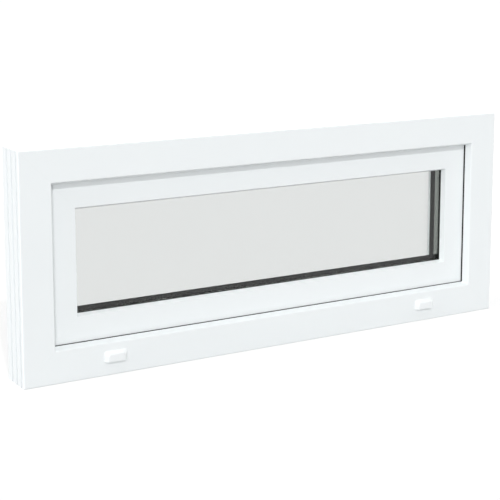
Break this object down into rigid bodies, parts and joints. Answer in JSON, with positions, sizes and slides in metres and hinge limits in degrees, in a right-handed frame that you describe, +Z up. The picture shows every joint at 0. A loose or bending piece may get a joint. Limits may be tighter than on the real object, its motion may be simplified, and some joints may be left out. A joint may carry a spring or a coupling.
{
  "type": "basement window",
  "caption": "Low, wide inward-tilting plastic window: mitred hollow-profile frame, recessed sash, sealed double glazing with beads, drain caps outside, handle and hinges inside.",
  "frame": {"origin": "middle of the frame's underside, half way through the frame's 70 mm depth, on the middle ridge between the clip grooves", "axes": "+X along the window, to the right seen from the weather side; +Y from the weather side to the room; +Z up"},
  "size_m": [1, 0.1435, 0.4],
  "materials": {
    "white_profile": "smooth white extruded plastic with a soft gloss",
    "black_seal": "matt black elastomer",
    "clear_glass": "clear float glass, faintly green",
    "spacer_bar": "dark grey rolled aluminium with a fine row of breather holes",
    "cap_plastic": "moulded white plastic",
    "handle_paint": "white powder coat",
    "hinge_paint": "white powder coat"
  },
  "bodies": {
    "root": {"bead_head": "white_profile", "bead_left": "white_profile", "bead_right": "white_profile", "bead_seal_head": "black_seal", "bead_seal_left": "black_seal", "bead_seal_right": "black_seal", "bead_seal_sill": "black_seal", "bead_sill": "white_profile", "drain_cap_left": "cap_plastic", "drain_cap_right": "cap_plastic", "frame_head": "white_profile", "frame_left_jamb": "white_profile", "frame_right_jamb": "white_profile", "frame_sill": "white_profile", "glazing_seal_head": "black_seal", "glazing_seal_left": "black_seal", "glazing_seal_right": "black_seal", "glazing_seal_sill": "black_seal", "handle_lever": "handle_paint", "handle_rose": "handle_paint", "hinge_left_frame_leaf": "hinge_paint", "hinge_left_sash_leaf": "hinge_paint", "hinge_right_frame_leaf": "hinge_paint", "hinge_right_sash_leaf": "hinge_paint", "inner_pane": "clear_glass", "inner_seal_head": "black_seal", "inner_seal_left": "black_seal", "inner_seal_right": "black_seal", "inner_seal_sill": "black_seal", "outer_pane": "clear_glass", "outer_seal_head": "black_seal", "outer_seal_left": "black_seal", "outer_seal_right": "black_seal", "outer_seal_sill": "black_seal", "sash_bottom_rail": "white_profile", "sash_head_rail": "white_profile", "sash_left_stile": "white_profile", "sash_right_stile": "white_profile", "spacer_head": "spacer_bar", "spacer_left": "spacer_bar", "spacer_right": "spacer_bar", "spacer_sill": "spacer_bar"}
  },
  "joints": []
}
